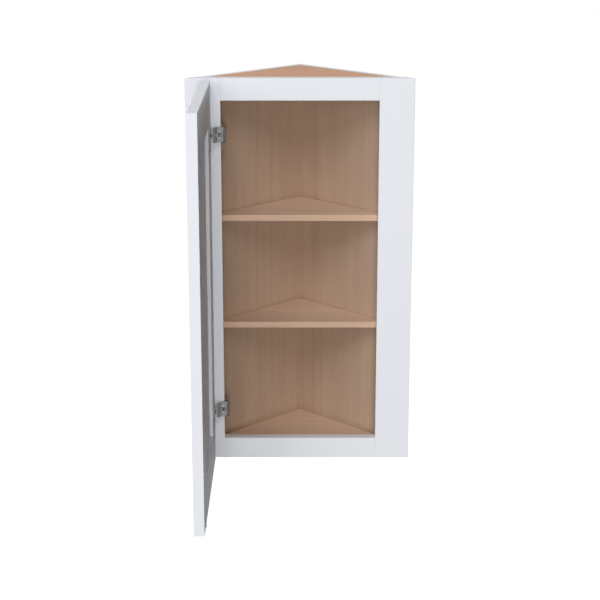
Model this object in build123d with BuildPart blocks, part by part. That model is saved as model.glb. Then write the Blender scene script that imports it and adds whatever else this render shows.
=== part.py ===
"""Corner wall cabinet: a three-sided kitchen cabinet that hangs in a corner or ends a run of
wall cabinets. Two square-set side panels meet at a vertical back corner, a face frame closes
the slanted front, and one shaker door hangs on two concealed cup hinges.

Row frame: millimetres, +Z up. The origin is the foot of the vertical back corner, where the
outer faces of the two side panels meet. +X runs along the slanted front, and the front looks
along -Y. The door is modelled as the cabinet stands at rest, open at 90 degrees.
"""
import math
import os

from build123d import *

# ---- case ---------------------------------------------------------------------------------
HEIGHT = 762.0              # 30 in wall cabinet
SIDE_LEG = 306.5            # outer width of each side, back corner to front edge
SIDE_THICKNESS = 12.0
CASE_DROP = 0.8             # case top lies this far below the top of the face frame
TOP_THICKNESS = 12.0
BOTTOM_THICKNESS = 12.0
BOTTOM_RECESS = 19.4        # underside of the bottom panel above the foot of the case
DADO_DEPTH = 4.0
DADO_CLEARANCE = 0.1

# ---- face frame -----------------------------------------------------------------------------
FRAME_THICKNESS = 19.0
FRAME_STILE_WIDTH = 66.2
TOP_RAIL_HEIGHT = 42.2
BOTTOM_RAIL_HEIGHT = 41.6
TENON_LENGTH = 12.0
TENON_THICKNESS = 6.4
TENON_SHOULDER = 6.0
TENON_CLEARANCE = 0.1

# ---- shelves --------------------------------------------------------------------------------
SHELF_THICKNESS = 12.0
SHELF_TOPS = {"lower": 276.9, "upper": 493.4}
SHELF_SETBACK = 6.0         # front edge of a shelf behind the back of the face frame
SHELF_CLEARANCE = 0.8       # shelf edge to side panel
PIN_RADIUS = 2.5
PIN_HOLE_DEPTH = 8.0
PIN_END_GAP = 0.5
PIN_CLEARANCE = 0.03
PIN_PLACES = (70.0, 215.0)  # along each side panel, from the back corner
PADDLE_LENGTH = 9.0
PADDLE_WIDTH = 8.0
PADDLE_THICKNESS = 2.0

# ---- door -----------------------------------------------------------------------------------
DOOR_THICKNESS = 19.6
DOOR_OVERLAY = 37.2         # door over the stile at each side
DOOR_REVEAL = 4.0           # face frame left bare above and below the door
DOOR_GAP = 3.0              # closed door to face frame
DOOR_MEMBER = 76.2          # width of the door's stiles and rails
PANEL_THICKNESS = 6.4
GROOVE_DEPTH = 9.5
GROOVE_CLEARANCE = 0.1
PANEL_PLAY = 0.9            # room for the panel to swell in the grooves
EDGE_ROUND = 1.0            # eased outer edges of the door
BUMPER_RADIUS = 5.0
BUMPER_PLAY = 0.2           # bumper to face frame with the door closed
BUMPER_INSET = 15.0         # bumper centre from the door's free edges

# ---- door at rest, open at 90 degrees -------------------------------------------------------
OPEN_SIDE = 18.2            # inner face of the open door beyond the edge of the opening
OPEN_FRONT = 13.4           # hinge edge of the open door in front of the face frame

# ---- hinges -----------------------------------------------------------------------------------
HINGE_INSET = 101.6         # hinge centre from the end of the door
CUP_RADIUS = 17.5
CUP_DEPTH = 12.6
CUP_WALL = 0.8
CUP_EDGE = 3.0              # cup bore from the hinge edge of the door
CUP_CLEARANCE = 0.05
FLANGE_THICKNESS = 0.8
FLANGE_RADIUS = 19.5
WING_SPACING = 45.0
WING_OFFSET = 9.5           # wing screws further from the door's edge than the cup's centre
WING_RADIUS = 6.0
SCREW_RADIUS = 1.75
SCREW_HEAD_RADIUS = 3.2
SCREW_HEAD_HEIGHT = 1.6
SCREW_CLEARANCE = 0.05
SHAFT_SIDES = 12            # screw shanks and shelf pegs, hidden in the wood, have few faces
CUP_SCREW_LENGTH = 12.0
BRACKET_SCREW_LENGTH = 16.0
OUTER_CUP_PIN = (9.3, 1.4)  # from the hinge edge, and below the inner face of the door
INNER_CUP_PIN = (9.4, 6.3)
CUP_PIN_RADIUS = 1.25
BOSS_END = 12.5             # bosses for the pins, inside the cup, end this far from the edge
PIN_SEAT = 2.0              # pins go this far into the bosses
RIM_NOTCH = 3.0             # flange cut away round the arm, inside the mouth of the cup
ARM_PIN_INSIDE = 7.1        # arm pivot inside the edge of the opening
LINK_PIN_OUTSIDE = 6.4      # link pivot in front of the stile, beyond that edge
ARM_PIN_RADIUS = 1.5
LINK_PIN_RADIUS = 1.25
RIVET_HEAD = 0.7            # peened heads of the arm's pin stand out this far all round
RUNNING_FIT = 0.05          # radial clearance of every hinge pin
SIDE_PLAY = 0.2             # along a pin, between parts that turn

ARM_SHEET = 1.2
ARM_HALF_HEIGHT = 14.5
ARM_BARREL_WALL = 1.05
ARM_GAP = 0.5               # arm to face frame with the door closed
ARM_BEND_X = 4.1            # arm pivot to the bend at the stile's corner
ARM_PLATE_LENGTH = 13.0     # flat of the arm in front of the stile
ARM_ELBOW = (28.0, 5.6)     # arm pivot to its elbow in the cup, door closed
ARM_WIDE_END = 27.0         # arm pivot to the end of its full height
ARM_BEND_RADIUS = 1.0
ARM_CORNER = 2.5
NECK_HALF_HEIGHT = 8.2
KNUCKLE_WALL = 0.8
SLOT_START = 4.6            # arm pivot to the slot for the bracket's finger

LINK_SHEET = 1.0
LINK_WIDTH = 2.4
LINK_ELBOW = (13.5, 3.9)    # along the line of the link's pivots, and off it
LINK_BRIDGE = 3.0
FORK_OPENING = 4.1
FORK_SHIFT = 0.55           # middle of the fork off the line of the pivots
FORK_ROOT = 3.2             # fork's closed end short of the cup pin
FORK_REACH = 2.0            # tines past the cup pin
FORK_TINE = 1.0

BRACKET_THICKNESS = 1.8
BRACKET_HALF_HEIGHT = 19.0
BRACKET_FRONT_SETBACK = 0.5
BRACKET_DEPTH = 18.0
LUG_THICKNESS = 2.0
LUG_WALL = 1.1
FINGER_HALF_HEIGHT = 2.4
FINGER_WALL = 1.0
FINGER_NECK = 2.8
FINGER_SIDE_GAP = 0.6       # finger to the mouth of the cup, door closed
FINGER_DROP = 2.0           # finger turns into the cup this far in front of the frame
BRACKET_SCREW_BACK = 12.5
BRACKET_SCREW_SPACING = 20.0

# ---- worked out from the sizes above ----------------------------------------------------------
ROOT2 = math.sqrt(2)
HALF_FRONT = SIDE_LEG / ROOT2
FRONT_Y = -HALF_FRONT                       # front plane of the face frame
BACK_OF_FRAME = FRONT_Y + FRAME_THICKNESS
HALF_OPENING = HALF_FRONT - FRAME_STILE_WIDTH
OPENING_TOP = HEIGHT - TOP_RAIL_HEIGHT
CASE_TOP = HEIGHT - CASE_DROP
BOTTOM_TOP = BOTTOM_RECESS + BOTTOM_THICKNESS

DOOR_WIDTH = 2 * (HALF_OPENING + DOOR_OVERLAY)
DOOR_FOOT = DOOR_REVEAL
DOOR_HEIGHT = HEIGHT - 2 * DOOR_REVEAL
HINGES = {"lower": DOOR_FOOT + HINGE_INSET, "upper": DOOR_FOOT + DOOR_HEIGHT - HINGE_INSET}
OPEN_X = -HALF_OPENING - OPEN_SIDE          # inner face of the open door
OPEN_Y = FRONT_Y - OPEN_FRONT               # its hinge edge
CUP_CENTRE = CUP_EDGE + CUP_RADIUS          # from the hinge edge
GROOVE_TOP = (DOOR_THICKNESS - PANEL_THICKNESS) / 2 - GROOVE_CLEARANCE
GROOVE_WIDTH = PANEL_THICKNESS + 2 * GROOVE_CLEARANCE
BOSS_FACE = NECK_HALF_HEIGHT + SIDE_PLAY    # from the middle of the hinge
LINK_OUTER = FINGER_HALF_HEIGHT + SIDE_PLAY + LINK_SHEET
SLOT_HALF_HEIGHT = LINK_OUTER + SIDE_PLAY   # slot in the arm, round the outside of the link


# ---- planes and places --------------------------------------------------------------------------
def door_plane(depth=0.0, foot=DOOR_FOOT):
    """Plane on the open door: x from its hinge edge, y up, z from its inner face into the wood."""
    return Plane(origin=(OPEN_X - depth, OPEN_Y, foot), x_dir=(0, -1, 0), z_dir=(-1, 0, 0))


def side_plane(hand, inset=0.0):
    """Plane on a side panel: x from the back corner forwards, y up, z into the cabinet."""
    along = Vector(hand, -1).normalized()
    inward = Vector(-hand, -1).normalized()
    start = inward * inset
    plane = Plane(origin=(start.X, start.Y, 0), x_dir=(along.X, along.Y, 0), z_dir=(0, 0, 1))
    return plane, inward


def three_sided(inset, front):
    """Corners of a three-sided panel, its edges inset from the outer faces of the sides."""
    apex = -inset * ROOT2
    return [(0, apex), (apex - front, front), (front - apex, front)][::-1]


def closed_place(from_edge, depth):
    """Where a point of the door is with the door closed."""
    return Vector(from_edge - DOOR_WIDTH / 2, FRONT_Y - DOOR_GAP - depth)


def open_place(from_edge, depth):
    """Where the same point is with the door open at 90 degrees."""
    return Vector(OPEN_X - depth, OPEN_Y - from_edge)


def swing_pole():
    """The one point about which a quarter turn takes the open door to the closed one."""
    shift = open_place(0, 0) - closed_place(0, 0)
    arm = Vector((shift.X - shift.Y) / 2, (shift.X + shift.Y) / 2)
    return open_place(0, 0) - arm


def fixed_pivot(cup_pin, x):
    """A pivot that is as far from a cup pin in both poses lies on the line that halves the turn."""
    pole = swing_pole()
    reach = closed_place(*cup_pin) - pole
    line = Vector(reach.X + reach.Y, reach.Y - reach.X)
    return pole + line * ((x - pole.X) / line.X)


def heading(vector):
    return math.degrees(math.atan2(vector.Y, vector.X))


def closing_turn(pivot, cup_pin):
    """Angle that a hinge link turns through as the door closes from 90 degrees."""
    turn = heading(closed_place(*cup_pin) - pivot) - heading(open_place(*cup_pin) - pivot)
    return (turn + 180) % 360 - 180


ARM_PIVOT = fixed_pivot(OUTER_CUP_PIN, ARM_PIN_INSIDE - HALF_OPENING)
LINK_PIVOT = fixed_pivot(INNER_CUP_PIN, -LINK_PIN_OUTSIDE - HALF_OPENING)
ARM_TURN = closing_turn(ARM_PIVOT, OUTER_CUP_PIN)
LINK_TURN = closing_turn(LINK_PIVOT, INNER_CUP_PIN)


def save(piece, node):
    piece.part.label = node
    export_step(piece.part, f"parts/{node}.step")


# ---- case ---------------------------------------------------------------------------------------
def side_panel(hand, start):
    """A side from the back corner to the face frame, with the dado for the bottom and pin holes."""
    flat, inward = side_plane(hand)
    with BuildPart() as side:
        with BuildSketch():
            with BuildLine():
                near = flat.from_local_coords(Vector(start, 0))
                far_outer = (hand * -BACK_OF_FRAME, BACK_OF_FRAME)
                far_inner = (hand * (-BACK_OF_FRAME - SIDE_THICKNESS * ROOT2), BACK_OF_FRAME)
                near_inner = near + inward * SIDE_THICKNESS
                Polyline((near.X, near.Y), far_outer, far_inner, (near_inner.X, near_inner.Y),
                         close=True)
            make_face()
        extrude(amount=CASE_TOP)
        with BuildSketch(Plane.XY.offset(BOTTOM_RECESS)):
            Polygon(*three_sided(SIDE_THICKNESS - DADO_DEPTH, BACK_OF_FRAME), align=None)
        extrude(amount=BOTTOM_THICKNESS, mode=Mode.SUBTRACT)
        for hole in pin_planes(hand, PIN_HOLE_DEPTH):
            with BuildSketch(hole):
                RegularPolygon(PIN_RADIUS + PIN_CLEARANCE, SHAFT_SIDES)
            extrude(amount=PIN_HOLE_DEPTH, mode=Mode.SUBTRACT)
    return side


def pin_planes(hand, depth, shelves=SHELF_TOPS):
    """Planes across each shelf pin, at the given depth in the side panel, z into the cabinet."""
    flat, inward = side_plane(hand, SIDE_THICKNESS - depth)
    for top in [SHELF_TOPS[name] for name in shelves]:
        height = top - SHELF_THICKNESS - PIN_RADIUS
        for place in PIN_PLACES:
            centre = flat.from_local_coords(Vector(place, 0, height))
            yield Plane(origin=centre, x_dir=flat.x_dir, z_dir=(inward.X, inward.Y, 0))


def shelf_pins(shelf):
    """Four pegs that carry one shelf on their flat-topped paddles."""
    with BuildPart() as pins:
        for hand in (-1, 1):
            for foot in pin_planes(hand, PIN_HOLE_DEPTH - PIN_END_GAP, [shelf]):
                with BuildSketch(foot):
                    RegularPolygon(PIN_RADIUS, SHAFT_SIDES)
                extrude(amount=PIN_HOLE_DEPTH - PIN_END_GAP)
            for face in pin_planes(hand, 0, [shelf]):
                up = 1 if face.y_dir.Z > 0 else -1
                with BuildSketch(face):
                    with Locations((0, up * (PIN_RADIUS - PADDLE_THICKNESS / 2))):
                        Rectangle(PADDLE_WIDTH, PADDLE_THICKNESS)
                extrude(amount=PADDLE_LENGTH)
    return pins


def flat_board(inset, front, foot, thickness):
    """A three-sided board: top, bottom or shelf."""
    with BuildPart() as board:
        with BuildSketch(Plane.XY.offset(foot)):
            Polygon(*three_sided(inset, front), align=None)
        extrude(amount=thickness)
    return board


# ---- face frame -----------------------------------------------------------------------------------
def rail_spans():
    return {"bottom": (0, BOTTOM_RAIL_HEIGHT), "top": (OPENING_TOP, TOP_RAIL_HEIGHT)}


def tenon_sketch_plane(foot):
    return Plane.XY.offset(foot + TENON_SHOULDER)


def frame_stile(hand, drilled):
    """A stile with its outer edge bevelled to the side panel, mortised for both rails."""
    outer, inner = hand * HALF_FRONT, hand * HALF_OPENING
    middle = (FRONT_Y + BACK_OF_FRAME) / 2
    with BuildPart() as stile:
        with BuildSketch():
            with BuildLine():
                Polyline((outer, FRONT_Y), (outer - hand * FRAME_THICKNESS, BACK_OF_FRAME),
                         (inner, BACK_OF_FRAME), (inner, FRONT_Y), close=True)
            make_face()
        extrude(amount=HEIGHT)
        for foot, height in rail_spans().values():
            with BuildSketch(tenon_sketch_plane(foot - TENON_CLEARANCE)):
                with Locations((inner + hand * TENON_LENGTH / 2, middle)):
                    Rectangle(TENON_LENGTH + TENON_CLEARANCE, TENON_THICKNESS + 2 * TENON_CLEARANCE)
            extrude(amount=height - 2 * TENON_SHOULDER + 2 * TENON_CLEARANCE, mode=Mode.SUBTRACT)
        if drilled:
            for centre in HINGES.values():
                with BuildSketch(bracket_screw_plane(hand * HALF_OPENING)):
                    with Locations(*bracket_screw_places(centre)):
                        RegularPolygon(SCREW_RADIUS + SCREW_CLEARANCE, SHAFT_SIDES)
                extrude(amount=BRACKET_SCREW_LENGTH, mode=Mode.SUBTRACT)
    return stile


def frame_rail(name):
    """A rail between the stiles, with a stub tenon at each end."""
    foot, height = rail_spans()[name]
    middle = (FRONT_Y + BACK_OF_FRAME) / 2
    with BuildPart() as rail:
        with BuildSketch(Plane.XY.offset(foot)):
            with Locations((0, middle)):
                Rectangle(2 * HALF_OPENING, FRAME_THICKNESS)
        extrude(amount=height)
        with BuildSketch(tenon_sketch_plane(foot)):
            with Locations((0, middle)):
                Rectangle(2 * (HALF_OPENING + TENON_LENGTH - TENON_CLEARANCE), TENON_THICKNESS)
        extrude(amount=height - 2 * TENON_SHOULDER)
    return rail


# ---- door -----------------------------------------------------------------------------------------
def door_stile(from_edge, cups):
    """A door stile, grooved along its inner edge, bored for the hinge cups on the hinge side."""
    inner_edge = DOOR_MEMBER if from_edge == 0 else from_edge
    into = -1 if from_edge == 0 else 1
    with BuildPart() as stile:
        with BuildSketch(door_plane()):
            with Locations((from_edge + DOOR_MEMBER / 2, DOOR_HEIGHT / 2)):
                Rectangle(DOOR_MEMBER, DOOR_HEIGHT)
        extrude(amount=DOOR_THICKNESS)
        outer = from_edge if from_edge == 0 else from_edge + DOOR_MEMBER
        outside = stile.edges().filter_by(Axis.Z).sort_by_distance(
            door_plane().from_local_coords(Vector(outer, DOOR_HEIGHT / 2, DOOR_THICKNESS / 2)))[:2]
        ends = stile.edges().filter_by(Axis.Y)
        fillet(ends + outside, EDGE_ROUND)
        with BuildSketch(door_plane(GROOVE_TOP)):
            with Locations((inner_edge + into * GROOVE_DEPTH / 2, DOOR_HEIGHT / 2)):
                Rectangle(GROOVE_DEPTH, DOOR_HEIGHT)
        extrude(amount=GROOVE_WIDTH, mode=Mode.SUBTRACT)
        for centre in cups:
            with BuildSketch(door_plane(foot=centre)):
                with Locations((CUP_CENTRE, 0)):
                    Circle(CUP_RADIUS + CUP_CLEARANCE)
            extrude(amount=CUP_DEPTH + CUP_WALL + CUP_CLEARANCE, mode=Mode.SUBTRACT)
            with BuildSketch(door_plane(foot=centre)):
                with Locations(*wing_places()):
                    RegularPolygon(SCREW_RADIUS + SCREW_CLEARANCE, SHAFT_SIDES)
            extrude(amount=CUP_SCREW_LENGTH, mode=Mode.SUBTRACT)
    return stile


def door_rail(foot, groove_foot, outer):
    """A door rail with a grooved inner edge and a stub tenon at each end."""
    with BuildPart() as rail:
        with BuildSketch(door_plane()):
            with Locations((DOOR_WIDTH / 2, foot + DOOR_MEMBER / 2)):
                Rectangle(DOOR_WIDTH - 2 * DOOR_MEMBER, DOOR_MEMBER)
        extrude(amount=DOOR_THICKNESS)
        edge = door_plane().from_local_coords(Vector(DOOR_WIDTH / 2, outer, DOOR_THICKNESS / 2))
        fillet(rail.edges().filter_by(Axis.Y).sort_by_distance(edge)[:2], EDGE_ROUND)
        with BuildSketch(door_plane(GROOVE_TOP + GROOVE_CLEARANCE)):
            with Locations((DOOR_WIDTH / 2, foot + DOOR_MEMBER / 2)):
                Rectangle(DOOR_WIDTH - 2 * (DOOR_MEMBER - GROOVE_DEPTH + GROOVE_CLEARANCE),
                          DOOR_MEMBER)
        extrude(amount=PANEL_THICKNESS)
        with BuildSketch(door_plane(GROOVE_TOP)):
            with Locations((DOOR_WIDTH / 2, groove_foot + GROOVE_DEPTH / 2)):
                Rectangle(DOOR_WIDTH, GROOVE_DEPTH)
        extrude(amount=GROOVE_WIDTH, mode=Mode.SUBTRACT)
    return rail


def door_panel():
    """The flat panel, held in the grooves with room to swell."""
    tongue = GROOVE_DEPTH - PANEL_PLAY
    with BuildPart() as panel:
        with BuildSketch(door_plane(GROOVE_TOP + GROOVE_CLEARANCE)):
            with Locations((DOOR_WIDTH / 2, DOOR_HEIGHT / 2)):
                Rectangle(DOOR_WIDTH - 2 * (DOOR_MEMBER - tongue),
                          DOOR_HEIGHT - 2 * (DOOR_MEMBER - tongue))
        extrude(amount=PANEL_THICKNESS)
    return panel


def door_bumpers():
    """Two soft dots on the free stile that the door closes against."""
    with BuildPart() as bumpers:
        with BuildSketch(door_plane()):
            with Locations((DOOR_WIDTH - BUMPER_INSET, BUMPER_INSET),
                           (DOOR_WIDTH - BUMPER_INSET, DOOR_HEIGHT - BUMPER_INSET)):
                Circle(BUMPER_RADIUS)
        extrude(amount=BUMPER_PLAY - DOOR_GAP)
    return bumpers


# ---- hinges ---------------------------------------------------------------------------------------
def wing_places():
    """Screws of the cup's two wings, on the door's plane at the hinge centre."""
    return [(CUP_CENTRE + WING_OFFSET, hand * WING_SPACING / 2) for hand in (-1, 1)]


def bracket_screw_plane(x):
    """Plane on the edge of the opening, z into the stile."""
    return Plane(origin=(x, FRONT_Y + BRACKET_SCREW_BACK, 0), x_dir=(0, 1, 0), z_dir=(-1, 0, 0))


def bracket_screw_places(centre):
    plane = bracket_screw_plane(0)
    up = 1 if plane.y_dir.Z > 0 else -1
    return [(0, up * (centre + hand * BRACKET_SCREW_SPACING / 2)) for hand in (-1, 1)]


def wood_screws(plane, places, length, seat):
    """Pan-head screws in one plane, heads standing out on the seat."""
    with BuildPart() as screws:
        with BuildSketch(plane.offset(-seat)):
            with Locations(*places):
                RegularPolygon(SCREW_RADIUS, SHAFT_SIDES)
        extrude(amount=seat + length - SCREW_HEAD_HEIGHT)
        with BuildSketch(plane.offset(-seat - SCREW_HEAD_HEIGHT)):
            with Locations(*places):
                Circle(SCREW_HEAD_RADIUS)
        extrude(amount=SCREW_HEAD_HEIGHT)
    return screws


def hinge_cup(centre):
    """A pressed cup with a flange and two wings, and bosses inside that hold its pivot pins."""
    with BuildPart() as cup:
        with BuildSketch(door_plane(foot=centre)):
            with Locations((CUP_CENTRE, 0)):
                Circle(CUP_RADIUS)
        extrude(amount=CUP_DEPTH + CUP_WALL)
        with BuildSketch(door_plane(-FLANGE_THICKNESS, centre)):
            with Locations((CUP_CENTRE, 0)):
                Circle(FLANGE_RADIUS)
            with Locations(*wing_places()):
                Circle(WING_RADIUS)
            make_hull()
        extrude(amount=FLANGE_THICKNESS)
        with BuildSketch(door_plane(-FLANGE_THICKNESS, centre)):
            with Locations((CUP_CENTRE, 0)):
                Circle(CUP_RADIUS - CUP_WALL)
        extrude(amount=FLANGE_THICKNESS + CUP_DEPTH, mode=Mode.SUBTRACT)
        with BuildSketch(door_plane(-FLANGE_THICKNESS, centre)):
            with Locations(*wing_places()):
                Circle(SCREW_RADIUS + SCREW_CLEARANCE)
        extrude(amount=FLANGE_THICKNESS, mode=Mode.SUBTRACT)
        with BuildSketch(door_plane(-FLANGE_THICKNESS, centre)):
            with Locations((CUP_EDGE, 0)):
                Rectangle(2 * RIM_NOTCH, 2 * (NECK_HALF_HEIGHT + RIM_NOTCH))
        extrude(amount=FLANGE_THICKNESS, mode=Mode.SUBTRACT)
        chamfer(cup.edges().group_by(Axis.X)[0], CUP_WALL)
        with BuildSketch(door_plane(foot=centre)):
            with Locations((CUP_CENTRE, 0)):
                Circle(CUP_RADIUS - CUP_WALL / 2)
            with Locations((BOSS_END, 0)):
                Rectangle(2 * CUP_RADIUS, 2 * CUP_RADIUS, mode=Mode.SUBTRACT,
                          align=(Align.MIN, Align.CENTER))
            Rectangle(2 * BOSS_END, 2 * BOSS_FACE, mode=Mode.SUBTRACT)
        extrude(amount=CUP_DEPTH)
        with BuildSketch(Plane.XY.offset(centre)):
            with Locations(open_place(*OUTER_CUP_PIN), open_place(*INNER_CUP_PIN)):
                Circle(CUP_PIN_RADIUS + PIN_CLEARANCE)
        extrude(amount=BOSS_FACE + PIN_SEAT + PIN_CLEARANCE, both=True, mode=Mode.SUBTRACT)
    return cup


def cup_pins(centre):
    """One pin across the cup for the link, and two stub pins for the arm, clear of the link."""
    half = BOSS_FACE + PIN_SEAT
    with BuildPart() as pins:
        with BuildSketch(Plane.XY.offset(centre)):
            with Locations(open_place(*INNER_CUP_PIN)):
                Circle(CUP_PIN_RADIUS)
        extrude(amount=half, both=True)
        for foot in (centre - half, centre + SLOT_HALF_HEIGHT):
            with BuildSketch(Plane.XY.offset(foot)):
                with Locations(open_place(*OUTER_CUP_PIN)):
                    Circle(CUP_PIN_RADIUS)
            extrude(amount=half - SLOT_HALF_HEIGHT)
    return pins


def hinge_arm(centre):
    """The long link: a forked sheet arm, bent round the stile's corner, barrel to knuckles."""
    plane = Plane(origin=(ARM_PIVOT.X, ARM_PIVOT.Y, centre), z_dir=(0, 0, 1),
                  x_dir=Vector(1, 0).rotate(Axis.Z, -ARM_TURN))
    mid_gap = FRONT_Y - ARM_GAP - ARM_SHEET / 2 - ARM_PIVOT.Y
    knuckle = closed_place(*OUTER_CUP_PIN) - ARM_PIVOT
    plate_end = -ARM_BEND_X - ARM_PLATE_LENGTH
    barrel = ARM_PIN_RADIUS + RUNNING_FIT + ARM_BARREL_WALL
    eye = CUP_PIN_RADIUS + RUNNING_FIT + KNUCKLE_WALL
    front = Plane(origin=plane.origin, x_dir=plane.x_dir, z_dir=-plane.y_dir)
    with BuildPart() as arm:
        with BuildSketch(plane):
            with BuildLine():
                FilletPolyline((0, 0), (-ARM_BEND_X, mid_gap), (plate_end, mid_gap),
                               (-ARM_ELBOW[0], -ARM_ELBOW[1]), (knuckle.X, knuckle.Y),
                               radius=ARM_BEND_RADIUS)
            trace(line_width=ARM_SHEET)
        extrude(amount=ARM_HALF_HEIGHT, both=True)
        with BuildSketch(front):
            with Locations((-ARM_WIDE_END / 2, 0)):
                RectangleRounded(ARM_WIDE_END + 2 * ARM_CORNER, 2 * ARM_HALF_HEIGHT, ARM_CORNER)
            with Locations((knuckle.X / 2, 0)):
                Rectangle(-knuckle.X + 2 * eye, 2 * NECK_HALF_HEIGHT)
        extrude(amount=2 * ARM_HALF_HEIGHT, both=True, mode=Mode.INTERSECT)
        with BuildSketch(plane):
            Circle(barrel)
        extrude(amount=ARM_HALF_HEIGHT, both=True)
        with BuildSketch(plane):
            with Locations(knuckle):
                Circle(eye)
        extrude(amount=NECK_HALF_HEIGHT, both=True)
        with BuildSketch(plane):
            Circle(ARM_PIN_RADIUS + RUNNING_FIT)
            with Locations(knuckle):
                Circle(CUP_PIN_RADIUS + RUNNING_FIT)
        extrude(amount=ARM_HALF_HEIGHT, both=True, mode=Mode.SUBTRACT)
        with BuildSketch(front):
            with Locations(((-SLOT_START + knuckle.X - 2 * eye) / 2, 0)):
                Rectangle(-knuckle.X + 2 * eye - SLOT_START, 2 * SLOT_HALF_HEIGHT)
        extrude(amount=2 * ARM_HALF_HEIGHT, both=True, mode=Mode.SUBTRACT)
    return arm


def hinge_link(centre):
    """The short link: two bent cheeks with a bridge, forked round the inner cup pin."""
    towards = open_place(*INNER_CUP_PIN) - LINK_PIVOT
    reach = towards.length
    root = reach - FORK_ROOT
    plane = Plane(origin=(LINK_PIVOT.X, LINK_PIVOT.Y, centre), z_dir=(0, 0, 1),
                  x_dir=(towards.X, towards.Y, 0))
    with BuildPart() as link:
        with BuildSketch(plane):
            with BuildLine():
                FilletPolyline((0, 0), LINK_ELBOW, (root, FORK_SHIFT), radius=LINK_WIDTH)
            trace(line_width=LINK_WIDTH)
            Circle(LINK_PIN_RADIUS + RUNNING_FIT + KNUCKLE_WALL)
            with Locations((root - FORK_TINE, FORK_SHIFT)):
                Rectangle(FORK_TINE + FORK_ROOT + FORK_REACH, FORK_OPENING + 2 * FORK_TINE,
                          align=(Align.MIN, Align.CENTER))
            with Locations((root, FORK_SHIFT)):
                Rectangle(2 * reach, FORK_OPENING, align=(Align.MIN, Align.CENTER),
                          mode=Mode.SUBTRACT)
            Circle(LINK_PIN_RADIUS + RUNNING_FIT, mode=Mode.SUBTRACT)
        extrude(amount=LINK_OUTER, both=True)
        with BuildSketch(plane):
            Rectangle(4 * reach, 4 * reach)
            with Locations(LINK_ELBOW):
                Rectangle(LINK_BRIDGE, 2 * LINK_WIDTH, mode=Mode.SUBTRACT)
        extrude(amount=LINK_OUTER - LINK_SHEET, both=True, mode=Mode.SUBTRACT)
    return link


def finger_places():
    """Right-hand edge of the finger inside the cup, and where the finger turns into the cup."""
    mouth = -DOOR_WIDTH / 2 + CUP_CENTRE + CUP_RADIUS - CUP_WALL - FINGER_SIDE_GAP
    return mouth, FRONT_Y - FINGER_DROP


def hinge_bracket(centre):
    """Die-cast bracket on the stile's edge: plate, two lugs for the arm, finger for the link."""
    lug_foot = ARM_HALF_HEIGHT + SIDE_PLAY
    lug = ARM_PIN_RADIUS + LUG_WALL
    plate_out = -HALF_OPENING + BRACKET_THICKNESS
    mouth, turn = finger_places()
    with BuildPart() as bracket:
        with BuildSketch(Plane.XY.offset(centre)):
            with Locations((-HALF_OPENING, FRONT_Y + BRACKET_FRONT_SETBACK)):
                Rectangle(BRACKET_THICKNESS, BRACKET_DEPTH, align=(Align.MIN, Align.MIN))
        extrude(amount=BRACKET_HALF_HEIGHT, both=True)
        for level in (centre + lug_foot, centre - lug_foot - LUG_THICKNESS):
            with BuildSketch(Plane.XY.offset(level)):
                with Locations(ARM_PIVOT):
                    Circle(lug)
                with Locations((-HALF_OPENING, FRONT_Y + BRACKET_FRONT_SETBACK)):
                    Rectangle(BRACKET_THICKNESS, 3 * lug, align=(Align.MIN, Align.MIN))
                make_hull()
            extrude(amount=LUG_THICKNESS)
        with BuildSketch(Plane.XY.offset(centre)):
            with BuildLine():
                Polyline((plate_out, FRONT_Y + FINGER_NECK), (plate_out, FRONT_Y - ARM_GAP),
                         (mouth, turn), (mouth - FINGER_NECK, turn),
                         (mouth - FINGER_NECK, FRONT_Y - SIDE_PLAY),
                         (-HALF_OPENING, FRONT_Y - SIDE_PLAY),
                         (-HALF_OPENING, FRONT_Y + FINGER_NECK), close=True)
            make_face()
        extrude(amount=FINGER_HALF_HEIGHT, both=True)
        with BuildSketch(Plane.XY.offset(centre)):
            with Locations(LINK_PIVOT):
                Circle(LINK_PIN_RADIUS + FINGER_WALL)
            with Locations((mouth - FINGER_NECK / 2, turn)):
                Rectangle(FINGER_NECK, FINGER_NECK, align=(Align.CENTER, Align.MAX))
            make_hull()
        extrude(amount=FINGER_HALF_HEIGHT, both=True)
        with BuildSketch(Plane.XY.offset(centre)):
            with Locations(ARM_PIVOT):
                Circle(ARM_PIN_RADIUS + PIN_CLEARANCE)
            with Locations(LINK_PIVOT):
                Circle(LINK_PIN_RADIUS + PIN_CLEARANCE)
        extrude(amount=BRACKET_HALF_HEIGHT, both=True, mode=Mode.SUBTRACT)
        with BuildSketch(bracket_screw_plane(-HALF_OPENING + BRACKET_THICKNESS)):
            with Locations(*bracket_screw_places(centre)):
                Circle(SCREW_RADIUS + SCREW_CLEARANCE)
        extrude(amount=BRACKET_THICKNESS, mode=Mode.SUBTRACT)
    return bracket


def bracket_pins(centre):
    """The arm's pin, headed outside the lugs, and the link's flush pin through the finger."""
    outside = ARM_HALF_HEIGHT + SIDE_PLAY + LUG_THICKNESS
    with BuildPart() as pins:
        for place, radius, half in ((ARM_PIVOT, ARM_PIN_RADIUS, outside),
                                    (LINK_PIVOT, LINK_PIN_RADIUS, LINK_OUTER)):
            with BuildSketch(Plane.XY.offset(centre)):
                with Locations(place):
                    Circle(radius)
            extrude(amount=half, both=True)
        for level in (centre + outside, centre - outside - RIVET_HEAD):
            with BuildSketch(Plane.XY.offset(level)):
                with Locations(ARM_PIVOT):
                    Circle(ARM_PIN_RADIUS + RIVET_HEAD)
            extrude(amount=RIVET_HEAD)
    return pins


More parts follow.
